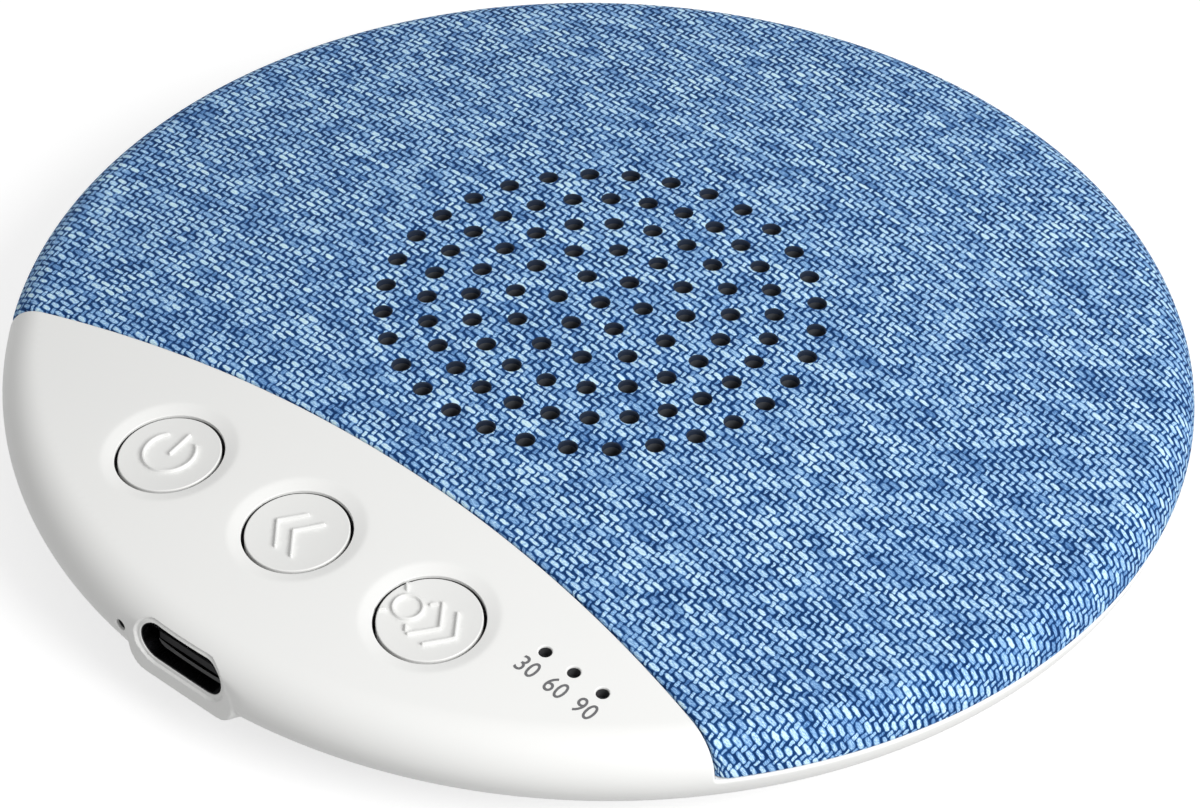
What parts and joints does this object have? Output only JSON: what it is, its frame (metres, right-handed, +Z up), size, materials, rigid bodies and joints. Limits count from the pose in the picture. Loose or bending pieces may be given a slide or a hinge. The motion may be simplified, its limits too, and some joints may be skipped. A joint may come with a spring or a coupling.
{
  "type": "white noise sound machine",
  "caption": "Low round sound machine with a cloth-covered speaker grille, a crescent deck with press buttons and timer lights, and a charging port in the rim.",
  "frame": {"origin": "centre of the footprint on the plane that the rubber feet stand on", "axes": "+Z up through the crown of the dome; -Y towards the charging port and the buttons; +X towards the timer lights"},
  "size_m": [0.102, 0.1015, 0.016],
  "materials": {
    "shell_plastic": "satin warm white moulding, finely textured",
    "button_plastic": "satin warm white moulding",
    "carrier_plastic": "matt dark grey moulding",
    "cloth": "blue and pale blue melange weave with navy shadows",
    "mesh_cloth": "fine black acoustic mesh",
    "black_plastic": "matt black",
    "tinned_steel": "tin-plated, lightly brushed",
    "zinc_steel": "zinc-plated",
    "board_laminate": "green solder mask",
    "chip_resin": "black moulded resin",
    "part_ceramic": "brown ceramic and ferrite",
    "lamp_resin": "pale yellow lens",
    "clear_plastic": "clear moulding",
    "pouch_foil": "laminated aluminium foil",
    "amber_film": "amber film over the circuit",
    "foam": "black closed-cell foam",
    "ivory_plastic": "ivory nylon",
    "lead_insulation": "red and black insulation",
    "magnet_plating": "nickel plating",
    "copper_wire": "enamelled copper winding",
    "cone_film": "black treated paper",
    "roll_rubber": "matt black rubber roll",
    "terminal_fibre": "brown fibre strip",
    "foot_rubber": "dark grey rubber"
  },
  "bodies": {
    "root": {"main_housing": "shell_plastic", "base_cover": "shell_plastic", "grille_cap": "carrier_plastic", "fabric_skin": "cloth", "dust_mesh": "mesh_cloth", "power_switch": "tinned_steel", "previous_switch": "tinned_steel", "next_switch": "tinned_steel", "main_board": "board_laminate", "board_screws": "zinc_steel", "controller_chip": "chip_resin", "amplifier_chip": "chip_resin", "memory_chip": "chip_resin", "board_parts": "part_ceramic", "timer_leds": "lamp_resin", "timer_light_guide": "clear_plastic", "charge_led": "lamp_resin", "charge_light_guide": "clear_plastic", "usb_shell": "tinned_steel", "usb_tongue": "black_plastic", "battery": "pouch_foil", "battery_circuit": "amber_film", "battery_pad": "foam", "battery_connector": "ivory_plastic", "battery_leads": "lead_insulation", "speaker_frame": "zinc_steel", "speaker_gasket": "foam", "magnet_cup": "zinc_steel", "speaker_magnet": "magnet_plating", "pole_plate": "zinc_steel", "speaker_terminals": "terminal_fibre", "speaker_connector": "ivory_plastic", "speaker_leads": "lead_insulation", "rubber_feet": "foot_rubber", "base_screws": "zinc_steel"},
    "power_button": {"power_button": "button_plastic", "power_plunger": "black_plastic"},
    "previous_button": {"previous_button": "button_plastic", "previous_plunger": "black_plastic"},
    "next_button": {"next_button": "button_plastic", "next_plunger": "black_plastic"},
    "speaker_cone": {"voice_coil": "copper_wire", "speaker_cone": "cone_film", "dust_cap": "cone_film", "cone_surround": "roll_rubber"}
  },
  "joints": [
    {"name": "power_press", "type": "slide", "parent": "root", "child": "power_button", "axis": [0, 0, -1], "range_m": [0, 0.0004], "stiffness_N_per_m": 1500},
    {"name": "previous_press", "type": "slide", "parent": "root", "child": "previous_button", "axis": [0, 0, -1], "range_m": [0, 0.0004], "stiffness_N_per_m": 1500},
    {"name": "next_press", "type": "slide", "parent": "root", "child": "next_button", "axis": [0, 0, -1], "range_m": [0, 0.0004], "stiffness_N_per_m": 1500},
    {"name": "cone_travel", "type": "slide", "parent": "root", "child": "speaker_cone", "axis": [0, 0, 1], "range_m": [-0.0003, 0.0003], "stiffness_N_per_m": 1200, "deforming": ["cone_surround"]}
  ]
}
